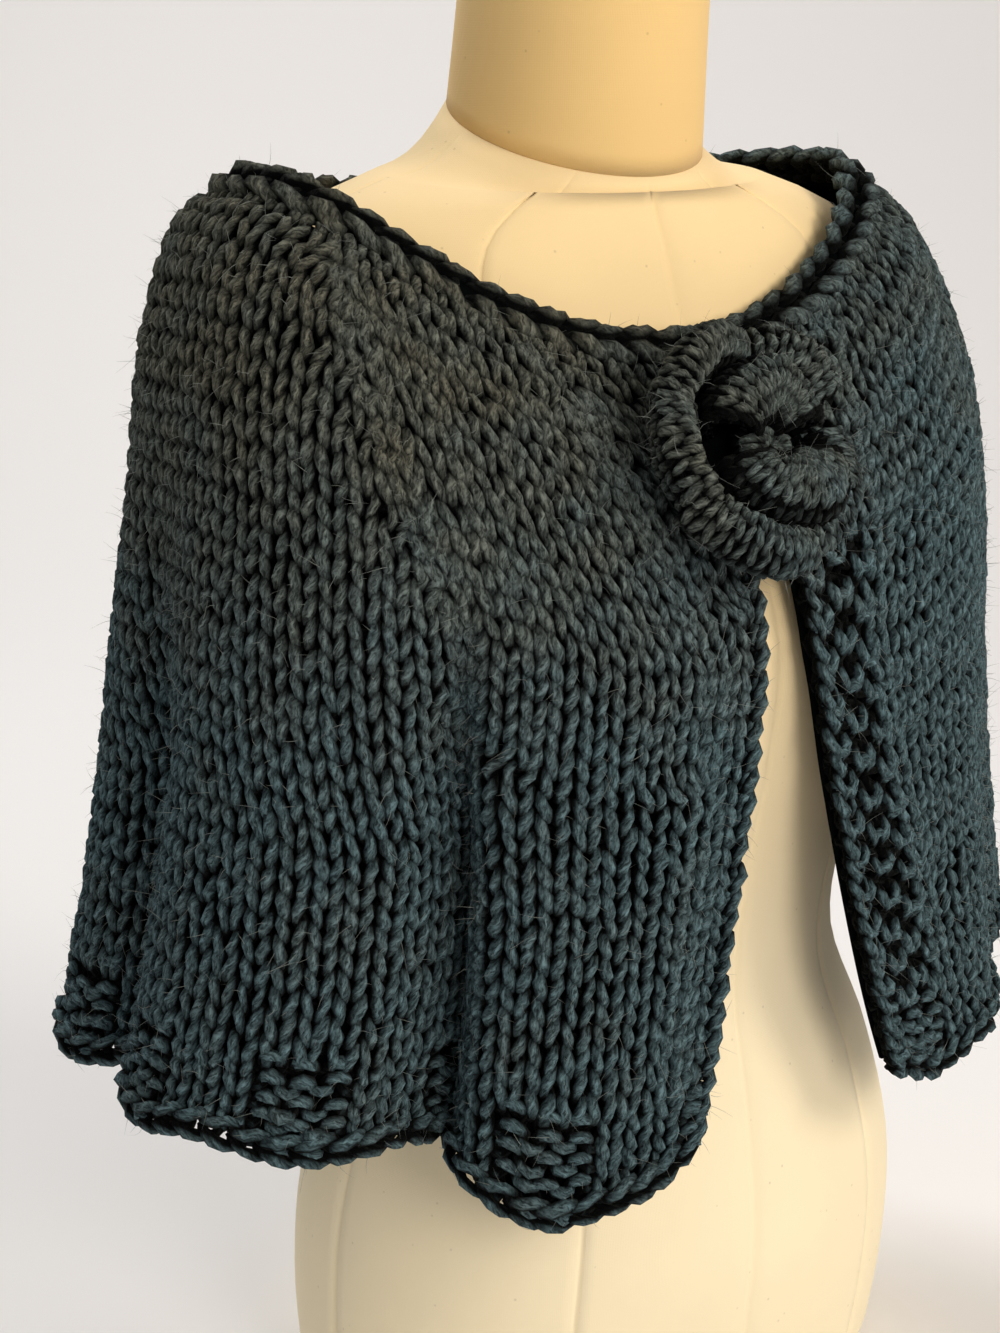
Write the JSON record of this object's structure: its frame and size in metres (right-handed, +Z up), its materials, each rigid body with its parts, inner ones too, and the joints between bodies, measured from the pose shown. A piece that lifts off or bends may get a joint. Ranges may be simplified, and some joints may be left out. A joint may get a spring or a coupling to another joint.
{
  "type": "knitted shrug on a limbless dress form",
  "caption": "Charcoal hand-knitted shrug in super-bulky hairy yarn, with raglan increase lines, a patterned hem band and a knitted rose at the front, on a limbless cream linen dress form.",
  "frame": {"origin": "on the flat base, under the middle of the dress form", "axes": "+Z up; the form faces -Y, so its own right side is -X"},
  "size_m": [0.5186, 0.3492, 0.735],
  "materials": {
    "yarn": "matte hairy super-bulky yarn",
    "form_linen": "matte fine linen cover",
    "neck_linen": "matte greyed linen cover"
  },
  "bodies": {
    "root": {"torso": "form_linen", "neck": "neck_linen", "right_front": "yarn", "right_front_band": "yarn", "right_shoulder": "yarn", "back": "yarn", "left_shoulder": "yarn", "left_front": "yarn", "left_front_band": "yarn", "hem_right_front": "yarn", "hem_right_shoulder": "yarn", "hem_back": "yarn", "hem_left_shoulder": "yarn", "hem_left_front": "yarn", "neck_edge_right_front": "yarn", "neck_edge_right_shoulder": "yarn", "neck_edge_back": "yarn", "neck_edge_left_shoulder": "yarn", "neck_edge_left_front": "yarn", "rose_base": "yarn", "rose_outer_strip": "yarn", "rose_upper_left_petal": "yarn", "rose_upper_right_petal": "yarn", "rose_right_petal": "yarn", "rose_bottom_petal": "yarn", "rose_inner_cup": "yarn", "rose_inner_curl": "yarn", "rose_bud": "yarn"}
  },
  "joints": []
}
